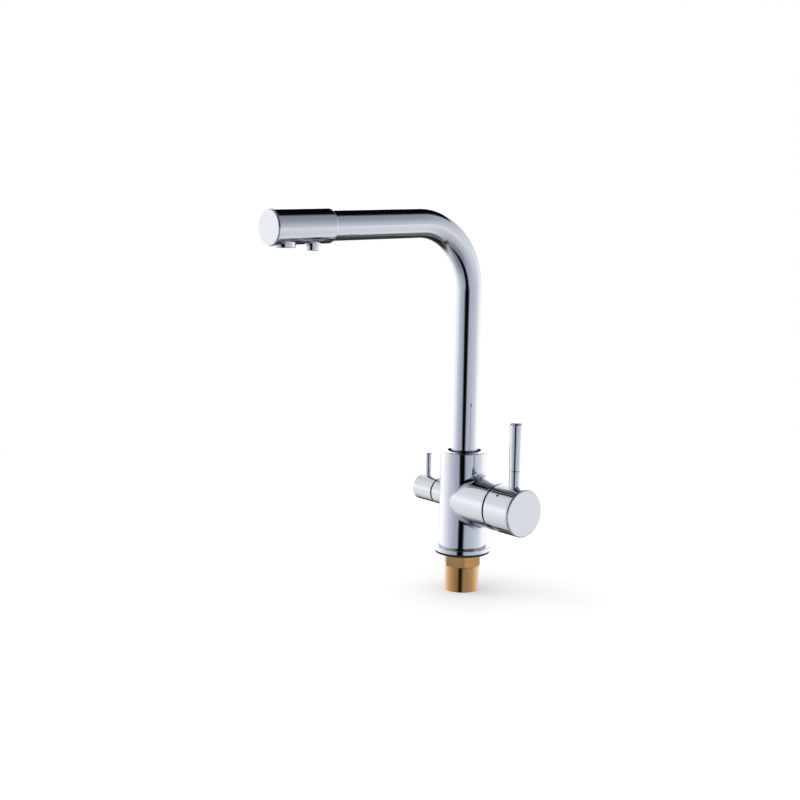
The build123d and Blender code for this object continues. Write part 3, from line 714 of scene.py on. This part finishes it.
    def raise_world(self) -> None:
        """Builds the world: white to the camera, the tent to the metal, soft light to everything else."""
        world = bpy.data.worlds.new("studio_tent")
        world.use_nodes = True
        tree = world.node_tree
        tree.nodes.clear()
        sums = Sums(tree)
        gaze = self.look(sums)
        light = sums.product(
            self.tent_level,
            self.spot(sums, gaze, self.shade_deg, self.shade_edge_deg, self.shade_level),
            self.spot(sums, gaze, self.sheen_deg, self.sheen_edge_deg, self.sheen_level),
            self.front(sums, gaze),
            self.behind(sums, gaze),
            self.flag(sums, gaze))
        tent = add_node(tree, "ShaderNodeBackground", {"Color": self.cloth(sums, gaze), "Strength": light})
        soft = add_node(tree, "ShaderNodeBackground", {"Color": linear(WHITE), "Strength": self.soft_level})
        white = add_node(tree, "ShaderNodeBackground", {"Color": linear(WHITE), "Strength": 1.0})
        path = add_node(tree, "ShaderNodeLightPath").outputs
        shiny = sums.reckon("MAXIMUM", path["Is Glossy Ray"], path["Is Transmission Ray"])
        lit = add_node(tree, "ShaderNodeMixShader", {0: shiny, 1: soft.outputs[0], 2: tent.outputs[0]})
        seen = add_node(tree, "ShaderNodeMixShader", {
            0: path["Is Camera Ray"], 1: lit.outputs[0], 2: white.outputs[0]})
        add_node(tree, "ShaderNodeOutputWorld", {"Surface": seen.outputs[0]})
        bpy.context.scene.world = world
        LOG.info("tent raised")


@dataclass
class Studio:
    """Floor, lamp, dark panel, tent and camera."""

    view: Viewpoint
    tent: Tent
    floor_radius_mm: float = 900.0
    floor_corners: int = 96
    floor_colour: str = "#F4F4F4"
    floor_glow: float = 0.2
    sun_strength: float = 0.4
    sun_angle_deg: float = 35.0
    sun_tilt_deg: Pair = (28.0, -24.0)
    panel_x_mm: Pair = (-530.0, 115.0)
    panel_y_mm: Pair = (-150.0, 500.0)
    panel_z_mm: float = 585.0
    panel_soft_mm: float = 95.0
    panel_colour: str = "#0A0A0B"

    def matt(self, name: str, colour: str) -> bpy.types.Material:
        """Makes a matt material.

        Args:
            name: what it is called.
            colour: its hex colour.

        Returns:
            A node material without any shine.
        """
        made = bpy.data.materials.new(name)
        made.use_nodes = True
        inputs = made.node_tree.nodes["Principled BSDF"].inputs
        inputs["Base Color"].default_value = linear(colour)
        inputs["Roughness"].default_value = 1.0
        inputs["Specular IOR Level"].default_value = 0.0
        return made

    def lay_floor(self) -> None:
        """Lays the pale floor under the shank; the metal mirrors the tent instead of it."""
        bpy.ops.object.select_all(action="DESELECT")
        low = CAD_BOX[0].z
        bpy.ops.mesh.primitive_circle_add(
            vertices=self.floor_corners, radius=self.floor_radius_mm * MM, fill_type="NGON",
            location=(0, 0, low))
        floor = bpy.context.active_object
        floor.name = "floor"
        floor.visible_glossy = False
        paper = self.matt("floor_paper", self.floor_colour)
        tree = paper.node_tree
        inputs = tree.nodes["Principled BSDF"].inputs
        path = add_node(tree, "ShaderNodeLightPath").outputs
        inputs["Emission Color"].default_value = linear(WHITE)
        glow = Sums(tree).product(path["Is Camera Ray"], self.floor_glow)
        tree.links.new(glow, inputs["Emission Strength"])
        floor.data.materials.append(paper)
        LOG.info("floor laid")

    def hang_lamp(self) -> None:
        """Adds the one broad lamp, high at the left; the metal doesn't mirror it."""
        lamp = bpy.data.lights.new("soft_lamp", "SUN")
        lamp.energy = self.sun_strength
        lamp.angle = math.radians(self.sun_angle_deg)
        hung = bpy.data.objects.new("soft_lamp", lamp)
        hung.rotation_euler = (*radians(self.sun_tilt_deg), 0)
        hung.visible_glossy = False
        bpy.context.scene.collection.objects.link(hung)
        LOG.info("lamp hung")

    def hang_panel(self) -> None:
        """Hangs the dark panel with soft edges behind and above the tap; only the metal mirrors it."""
        bpy.ops.object.select_all(action="DESELECT")
        (x0, x1), (y0, y1) = self.panel_x_mm, self.panel_y_mm
        bpy.ops.mesh.primitive_plane_add(
            size=MM, location=((x0 + x1) / 2 * MM, (y0 + y1) / 2 * MM, self.panel_z_mm * MM))
        panel = bpy.context.active_object
        panel.name = "dark_panel"
        panel.scale = (x1 - x0, y1 - y0, 1.0)
        bpy.ops.object.transform_apply(location=False, rotation=False, scale=True)
        for kind in ("camera", "diffuse", "transmission", "shadow", "volume_scatter"):
            setattr(panel, f"visible_{kind}", False)
        felt = self.matt("felt_black", self.panel_colour)
        self.soften(felt.node_tree, ((x1 - x0) / 2 * MM, (y1 - y0) / 2 * MM))
        panel.data.materials.append(felt)
        LOG.info("panel hung")

    def soften(self, tree: Tree, half: Pair) -> None:
        """Fades the panel out towards its edges.

        Args:
            tree: its material's nodes.
            half: half its width and half its depth, in metres.
        """
        sums = Sums(tree)
        place = add_node(tree, "ShaderNodeTexCoord").outputs["Object"]
        along = add_node(tree, "ShaderNodeSeparateXYZ", {"Vector": place}).outputs
        inside = [sums.reckon("SUBTRACT", reach, sums.reckon("ABSOLUTE", along[axis]))
                  for axis, reach in zip("XY", half)]
        cover = sums.step(sums.reckon("MINIMUM", *inside), (0.0, self.panel_soft_mm * MM), 0.0, 1.0)
        tree.links.new(cover, tree.nodes["Principled BSDF"].inputs["Alpha"])

    def set_up(self) -> None:
        """Sets up the whole studio."""
        self.lay_floor()
        self.hang_lamp()
        self.hang_panel()
        self.tent.raise_world()
        self.view.place()
        bpy.context.scene.view_settings.view_transform = "Standard"


def main() -> None:
    """Dresses the tap and sets up the studio."""
    paints = Paintbox()
    for group in (Base, Body, Spout, SpoutHead, MixingValve, MixerHandle, FilterValve):
        group(paints).dress()
    view = Viewpoint()
    Studio(view, Tent(view)).set_up()


if __name__ == "__main__":
    main()
